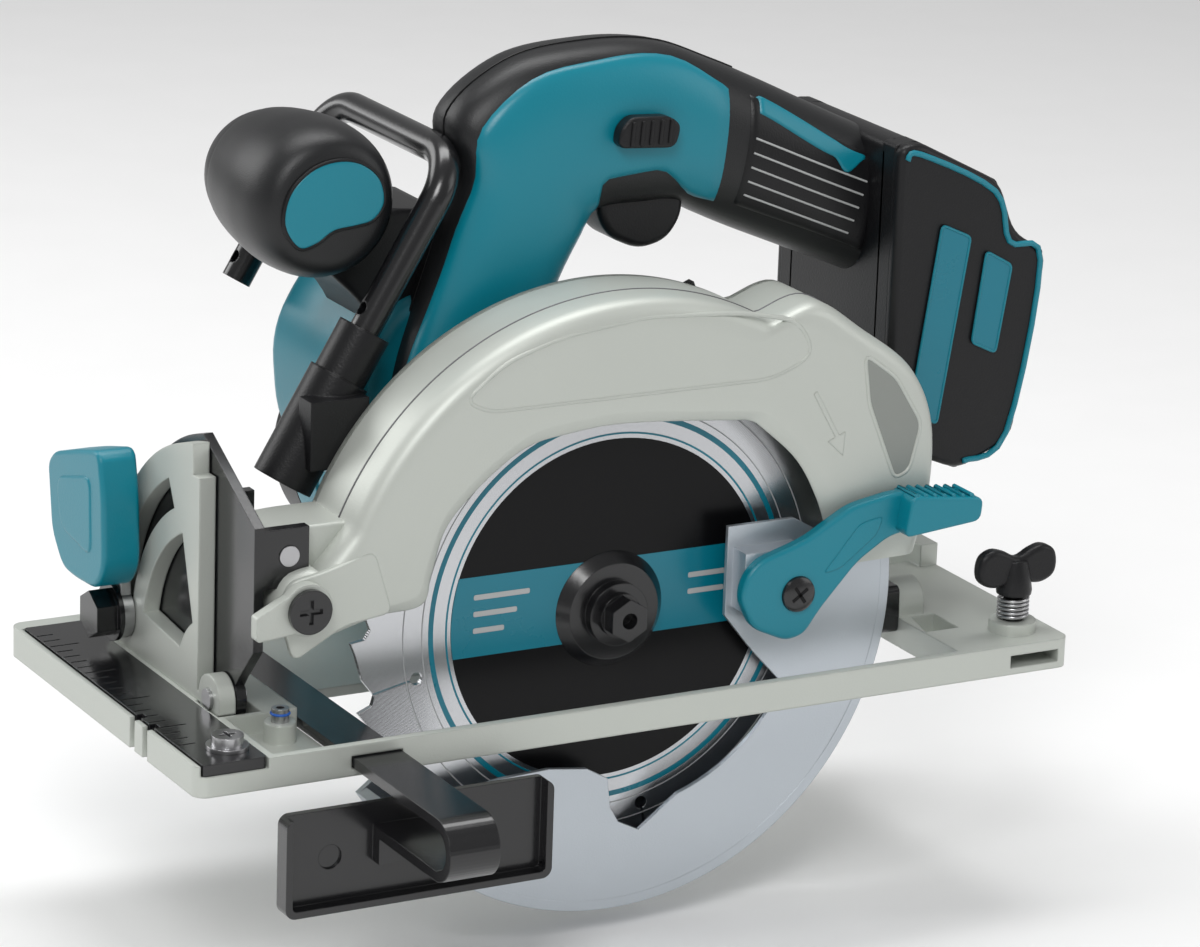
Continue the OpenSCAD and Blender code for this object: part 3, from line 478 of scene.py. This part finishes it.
outer = rounded([(-107, 26.5), (-112, 43), (-108, 52), (-97, 54)], 4)[5:]
outer += arc(0, ARBOR, 95, 157, 62, 70)
outer += curve([(46, 110), (60, 113.5), (76, 103.5), (93, 90.5), (101, 74), (101.5, 52), (97, 34)], 8)[4:]
front_edge = [(-95, 33), (-80, 37), (-66, 38.5), (-63, 48), (-57, 63), (-37, 79.5), (-20, 83.5)]
inner = curve(front_edge + [(0, 84.3), (37, 81)], 8)
inner += curve([(40, 80), (54, 67.5), (62, 54), (66, 42), (68, 33.5)], 8)
outer, inner = spaced(outer, 150), spaced(inner, 150)
rings = []
for o, i in zip(outer, inner):
    width = (i - o).length
    steps = [(0.0, FAR), (0.0, 2), (0.0, -8.8), (0.9, -11.2), (2.4, -12.8), (4.6, NEAR), (9, NEAR)]
    inward = [(9, NEAR), (4.6, NEAR), (3.8, NEAR + 0.15), (0.5, -12.0), (0.0, -11.8), (0.0, -11.5)]
    ring = [o.lerp(i, min(0.45, d / width)).to_3d() + Vector((0, 0, y)) for d, y in steps]
    ring += [i.lerp(o, min(0.45, d / width)).to_3d() + Vector((0, 0, y)) for d, y in inward]
    rings.append([(p.x, p.z, p.y) for p in ring])
loft("case_shell", rings, "saw", CAST, "shoe_alloy", closed=False, caps=False, sharp=60)
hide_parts("blade_case")
wall = [(p.x, p.y) for p in outer] + [(60, 34), (24, 20), (-24, 20), (-40, 37.5), (-66, 37.5)]
prism("case_far_wall", wall, FAR - 2, FAR, "saw", CAST, "shoe_alloy")
lug = rounded([(-112.4, 57), (-110, 63), (-100, 63.6), (-84, 63.6), (-84, 50.6), (-110, 50.6)], 3)
prism("case_pivot_lug", lug, -5, FAR, "saw", CAST, "shoe_alloy", bevel=1.0)
seat = [(16, 6), (16, FAR), (10, FAR), (10, 7.7), (10, 6)]
lathe("case_bearing_box", (0, ARBOR), seat, "saw", CAST, "shoe_alloy", caps=False)
rim_line = [(p.x * 1.0008, -1.0, p.y) for p in outer[6:128]]
tube("case_seam", rim_line, 0.28, "saw", IRON, "shoe_alloy", count=8)

# Flat front end of the case, which stands a little proud behind the stopper
nose = [(-106.4, 27.4), (-111.2, 43), (-107.6, 50.8), (-97, 52.6), (-82, 57), (-76, 38), (-91, 36)]
prism("case_nose", rounded(nose, 3), NEAR - 0.35, NEAR + 2, "saw", CAST, "shoe_alloy", bevel=0.5)

# Raised edge of the label panel, the pocket and the direction arrow
panel = [(-55, 97), (-47, 93), (45, 93), (58, 99), (52, 109.5), (34, 113.5), (2, 115.5)]
panel = rounded(panel + [(-24, 112.5), (-42, 107)], 6)
panel_edge = [(x, NEAR + 0.45, z) for x, z in panel]
tube("case_panel_edge", panel_edge, 0.75, "saw", CAST, "shoe_alloy", count=10, loop=True)
pocket = rounded([(75, 97), (86, 89), (95.5, 74), (92, 60), (87, 58), (77, 82)], 3)
# The pocket floor is a flat sheet in darker cast colour, which is painted shade for the recess
prism("case_pocket", pocket, NEAR - 0.05, NEAR + 1.2, "saw", POCKET_SHADE, "shoe_alloy")
pocket_edge = [(x, NEAR + 0.3, z) for x, z in pocket]
tube("case_pocket_edge", pocket_edge, 0.7, "saw", CAST, "shoe_alloy", count=10, loop=True)
arrow = [(58, 87), (66, 73), (63.5, 72), (69, 67), (69.5, 74.5), (67.4, 73.6), (59.3, 87.6)]
prism("case_arrow", arrow, NEAR - 0.3, NEAR + 0.5, "saw", CAST, "shoe_alloy", bevel=0.25, segments=2)

# ---- Blade print and guard ------------------------------------------------------------------


def disc(name, r0, r1, y, finish):
    """Flat ring on the blade with turned-down rims."""
    profile = [(r0, y + 0.05), (r0 + 0.05, y), (r1 - 0.05, y), (r1, y + 0.05)]
    lathe(name, (0, ARBOR), profile, "arbor", finish, "blade_steel", count=128, caps=False)


PRINT_R = 51
disc("blade_print", 10, PRINT_R, -0.88, PRINT_AND_SHADE_BLACK)
disc("blade_ring_inner", 52.2, 52.8, -0.86, PRINT_TEAL)
disc("blade_ring_teal", 56.6, 58.2, -0.86, PRINT_TEAL)
disc("blade_ring_fine", 60.0, 60.4, -0.86, PRINT_GREY)
disc("blade_ring_outer", 66.0, 66.4, -0.86, PRINT_GREY)
band_low, band_high = -9.0, 15.0
a_low = atan2(band_low, (PRINT_R**2 - band_low**2) ** 0.5)
a_high = atan2(band_high, (PRINT_R**2 - band_high**2) ** 0.5)
sweep = [a_low + (a_high - a_low) * i / 16 for i in range(17)]
band = [(PRINT_R * cos(a), ARBOR + PRINT_R * sin(a)) for a in sweep]
band += [(-x, z) for x, z in band[::-1]]
prism("blade_band", band, -0.96, -0.86, "arbor", PRINT_TEAL, "blade_steel")
for k, (x0, x1, z) in enumerate([(-44, -26, 8), (-44, -30, 3), (-44, -34, -2), (26, 42, 6), (26, 38, 1)]):
    bar = rounded([(x0, ARBOR + z), (x1, ARBOR + z), (x1, ARBOR + z + 1.6), (x0, ARBOR + z + 1.6)], 0.5, 2)
    prism(f"blade_bar_{k}", bar, -1.05, -0.95, "arbor", MARK, "blade_steel")

# ---- Retracting lever -----------------------------------------------------------------------

lever = [(33, 29.5), (37.5, 20), (49, 14.8), (55, 16), (60, 23), (72, 36), (83, 42.8), (109, 45.6)]
lever += [(111, 50), (109, 53.6), (84, 56), (69, 53.4), (54, 45), (39, 40.5), (34.5, 36)]
prism(
    "retract_lever", rounded(lever, 3.5), -20, -15.6, "guard", PLASTIC, "teal_plastic",
    replaces=("retract_lever",), bevel=1.3, segments=4,
)
thumb = rounded([(84, 43.6), (110, 46), (110.6, 53), (86, 56)], 2.5)
prism("retract_thumb", thumb, -26, -14, "guard", PLASTIC, "teal_plastic", bevel=1.6, segments=4)
for k in range(7):
    x, z = 87 + 3.2 * k, 55.4 - 0.32 * k
    rib = rounded([(x, z - 2), (x + 1.5, z - 2), (x + 1.5, z + 1.1), (x, z + 1.1)], 0.6, 2)
    prism(f"retract_rib_{k}", rib, -25.4, -14.6, "guard", PLASTIC, "teal_plastic", bevel=0.5, segments=2)
web = rounded([(60, 34), (66, 35), (78, 44), (80, 49.5), (72, 48)], 2)
prism("retract_web", web, -20.25, -19.5, "guard", PLASTIC, "teal_plastic", bevel=0.3)
boss = [(0.1, -21.4), (4.2, -21.4), (5.2, -20.8), (5.6, -19.6)]
lathe(
    "retract_boss", (52, 29), boss, "guard", PAINT, "bright_steel",
    replaces=("retract_screw",), count=32,
)
cross_recess("retract_screw", 52, -21.4, 29, 3.0, "guard")

# ---- Fence bolt -----------------------------------------------------------------------------

WING = (125.5, -22)
butterfly = [(0, 25.5), (4.5, 23.6), (9, 23.4), (12.6, 25.4), (13.6, 29.2), (12.4, 33.2)]
butterfly += [(8.6, 35), (4.4, 34), (0, 32)]
wings = butterfly + [(-x, z) for x, z in butterfly[-2:0:-1]]
wings = [(WING[0] + x, z) for x, z in curve(wings, 4, loop=True)]
prism(
    "fence_bolt_wings", wings, WING[1] - 2.4, WING[1] + 2.4, "wing", BLACK, "black_steel",
    replaces=("wing_bolt",), bevel=1.6, segments=4,
)
neck = [(0.1, 5.6), (2.95, 5.6), (2.95, 20.4), (5.2, 20.6), (5.4, 22), (4.6, 27), (3.6, 31), (0.1, 31.4)]
circle = [2 * pi * i / 40 for i in range(40)]
rings = [[(WING[0] + r * cos(a), WING[1] + r * sin(a), z) for a in circle] for r, z in neck]
loft("fence_bolt_neck", rings, "wing", BLACK, "black_steel")
turns = [(WING[0] + 4.3 * cos(a / 4), WING[1] + 4.3 * sin(a / 4), 13.2 + 0.26 * a / 5.2) for a in range(126)]
tube("fence_bolt_spring", turns, 0.55, "base", STEEL, "bright_steel", replaces=("wing_spring",), count=10)

# ---- Bevel lever ----------------------------------------------------------------------------

wing = [(49, 39), (55, 31.5), (70, 30.5), (79, 31), (87, 40), (90, 60), (86, 64)]
wing += [(70, 69), (53, 73.5), (50, 60)]
prism(
    "bevel_knob", rounded(wing, 4), -136.6, -124.8, "bevel_lever", PLASTIC, "teal_plastic",
    replaces=("bevel_lever_knob",), axis="x", bevel=3.2, segments=5,
)
dish = rounded([(57, 40), (80, 43), (83, 58), (58, 65)], 5)
prism(
    "bevel_knob_dish", dish, -137.0, -134, "bevel_lever", PLASTIC, "teal_plastic",
    axis="x", bevel=1.2, segments=4,
)

# ---- Battery mount --------------------------------------------------------------------------

CROWN = [(97, 72), (97, 151.5), (104, 152.5), (133, 138), (139, 122)]
cheek = CROWN + [(151, 115), (142, 58), (124, 50), (104, 58)]
rail = CROWN + [(151, 115), (142, 58), (136, 55.4), (136, 112), (130, 112), (130, 52.7)]
rail += [(124, 50), (104, 58)]
core = CROWN + [(150, 115.4), (149, 112), (126, 112), (126, 51), (104, 58)]
for name, (y0, y1) in {"near": (8, 13.2), "far": (70.8, 76)}.items():
    prism(
        f"battery_mount_{name}", rounded(cheek, 5), y0, y1, "saw", BLACK, "black_plastic",
        bevel=2.2, segments=4,
    )
for name, (y0, y1) in {"near": (11, 18), "far": (66, 73)}.items():
    prism(f"battery_rail_{name}", rounded(rail, 1.2), y0, y1, "saw", BLACK, "black_plastic", bevel=0.5)
prism(
    "battery_mount_core", rounded(core, 3), 16, 68, "saw", BLACK, "black_plastic",
    replaces=("battery_mount",), bevel=0.8,
)
trim = [(99.5, 147.5), (104, 149), (130.6, 135.6), (136.6, 119.8), (148, 112.8), (139.4, 60.5), (124.4, 53)]
trim_line = [(x, 7.9, z) for x, z in curve(trim, 5)]
tube("mount_trim", trim_line, 0.9, "saw", PLASTIC, "teal_plastic", count=10)
badges = {
    "mount_badge_tall": [(112.5, 127), (122.5, 122.5), (114, 66), (104.5, 71)],
    "mount_badge_short": [(128.5, 117.5), (137.5, 112.5), (133.4, 86), (125, 90)],
}
for name, corners in badges.items():
    prism(
        name, rounded(corners, 1.5), 7.2, 9, "saw", PRINT_TEAL, "teal_plastic",
        replaces=("mount_badges",), bevel=0.5,
    )
    edge = [(x, 7.3, z) for x, z in rounded(corners, 1.5)]
    tube(f"{name}_edge", edge, 0.45, "saw", PLASTIC, "teal_plastic", count=8, loop=True)

# ---- Small details of the shoe ---------------------------------------------------------------

ring = [(-108 + 2.55 * cos(pi * i / 12), -9 + 2.55 * sin(pi * i / 12), 11.4) for i in range(24)]
tube("stop_screw_locker", ring, 0.4, "base", LOCKER, "bright_steel", count=8, loop=True)

# ---- Motor housing --------------------------------------------------------------------------

barrel = [(31.5, 30), (33.4, 30), (34, 30.6), (34, 57), (33.4, 57.4), (33.4, 58.4), (34, 58.8)]
barrel += [(34, 99), (33.2, 99.6), (33.2, 101), (34, 101.6), (34, 117.4), (33.6, 117.8), (31.5, 118)]
lathe(
    "motor_barrel", MOTOR, barrel, "saw", PLASTIC, "teal_plastic",
    replaces=("motor_housing",), count=96, caps=False,
)
hump = rounded([(-46, 42), (-61, 62), (-63.5, 91), (-51.5, 111.5), (-31, 115.5), (-5, 96), (9, 70)], 12, 6)
prism("motor_hump", hump, 40.2, 99.8, "saw", PLASTIC, "teal_plastic", bevel=6, segments=6)
# Vent slots drawn as black strips standing proud of the barrel: painted shade for the openings
VENT_R, VENT_Y = 33.6, (104.7, 112.1)
for k in range(-5, 6):
    angle = radians(20 + 12 * k)
    out, side = Vector((cos(angle), 0, sin(angle))), Vector((-sin(angle), 0, cos(angle)))
    foot = Vector((MOTOR[0], 0, MOTOR[1])) + out * VENT_R
    rings = []
    for r, w in ((0, 1.3), (0.55, 1.3), (0.75, 1.0)):
        low, high = VENT_Y[0] - w, VENT_Y[1] + w
        corners = [(-w, low), (w, low), (w, high), (-w, high)]
        rings.append([tuple(foot + out * r + side * a + Vector((0, y, 0))) for a, y in corners])
    loft(f"motor_vent_{k + 5}", rings, "saw", PRINT_AND_SHADE_BLACK, "black_plastic")

# ---- Camera, floor and light ----------------------------------------------------------------

azimuth, elevation, roll = radians(-29.09), radians(17.02), radians(2.0)
back = Vector((sin(azimuth) * cos(elevation), -cos(azimuth) * cos(elevation), sin(elevation)))
right = Vector((cos(azimuth), sin(azimuth), 0))
above = back.cross(right)
right, above = right * cos(roll) + above * sin(roll), above * cos(roll) - right * sin(roll)
camera = bpy.data.objects.new("camera", bpy.data.cameras.new("camera"))
bpy.context.collection.objects.link(camera)
camera.data.lens = 157.4
camera.data.sensor_width = 36
distance, aside, raised = 1.5136, -0.00204, 0.0386
place = back * distance + right * aside + above * raised + Vector((0, 0, ARBOR / 1000))
camera.matrix_world = Matrix((
    (right.x, above.x, back.x, place.x),
    (right.y, above.y, back.y, place.y),
    (right.z, above.z, back.z, place.z),
    (0, 0, 0, 1),
))
bpy.context.scene.camera = camera

floor = bpy.data.meshes.new("floor")
reach, ground = 6.0, -0.072
quarters = ((-1, -1), (1, -1), (1, 1), (-1, 1))
floor_corners = [(x * reach, y * reach, ground) for x, y in quarters]
floor.from_pydata(floor_corners, [], [[0, 1, 2, 3]])
floor_object = bpy.data.objects.new("floor", floor)
bpy.context.collection.objects.link(floor_object)
floor.materials.append(material("floor_paper", (0.88, 0.88, 0.88), 0.9, bump=0.02, spread=0.01))

AIM = Vector((0, 0.02, 0.08))


def softbox(name, position, size, power):
    """Rectangular studio light aimed at the saw."""
    light = bpy.data.lights.new(name, "AREA")
    light.shape = "RECTANGLE"
    light.size, light.size_y = size
    light.energy = power
    lamp = bpy.data.objects.new(name, light)
    bpy.context.collection.objects.link(lamp)
    lamp.location = position
    lamp.rotation_euler = (AIM - Vector(position)).to_track_quat("-Z", "Y").to_euler()


softbox("key", (-0.9, -1.2, 1.4), (0.7, 0.7), 17)
softbox("fill", (1.3, -0.9, 0.6), (0.9, 0.9), 3.5)
softbox("top", (0.1, 0.3, 1.5), (1.2, 0.5), 13)
softbox("rim", (-0.9, 1.1, 0.7), (0.8, 0.8), 7)

world = bpy.data.worlds.new("studio")
bpy.context.scene.world = world
world.use_nodes = True
world.node_tree.nodes["Background"].inputs["Color"].default_value = (1, 1, 1, 1)
world.node_tree.nodes["Background"].inputs["Strength"].default_value = 0.36
bpy.context.scene.view_settings.view_transform = "Standard"
